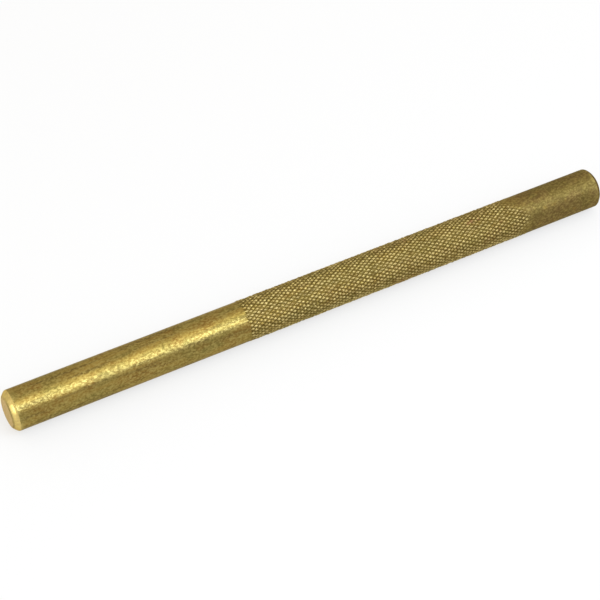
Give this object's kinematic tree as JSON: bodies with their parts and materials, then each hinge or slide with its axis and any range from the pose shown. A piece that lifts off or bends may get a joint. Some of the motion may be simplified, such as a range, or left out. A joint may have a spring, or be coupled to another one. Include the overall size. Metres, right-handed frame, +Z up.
{
  "type": "drift punch",
  "caption": "Straight solid brass drift punch: a round bar with a rolled diamond knurl as its grip, a long plain working end, a short struck end and a chamfer round each flat face.",
  "frame": {"origin": "the middle of the bar, on its axis", "axes": "+X along the bar from the working face to the struck face, +Y across it, +Z up as it lies in the picture"},
  "size_m": [0.2032, 0.013, 0.013],
  "materials": {
    "brass": "drawn bar with a tarnished, mottled skin, bright knurl points and turned chamfers"
  },
  "bodies": {
    "root": {"punch_bar": "brass"}
  },
  "joints": []
}
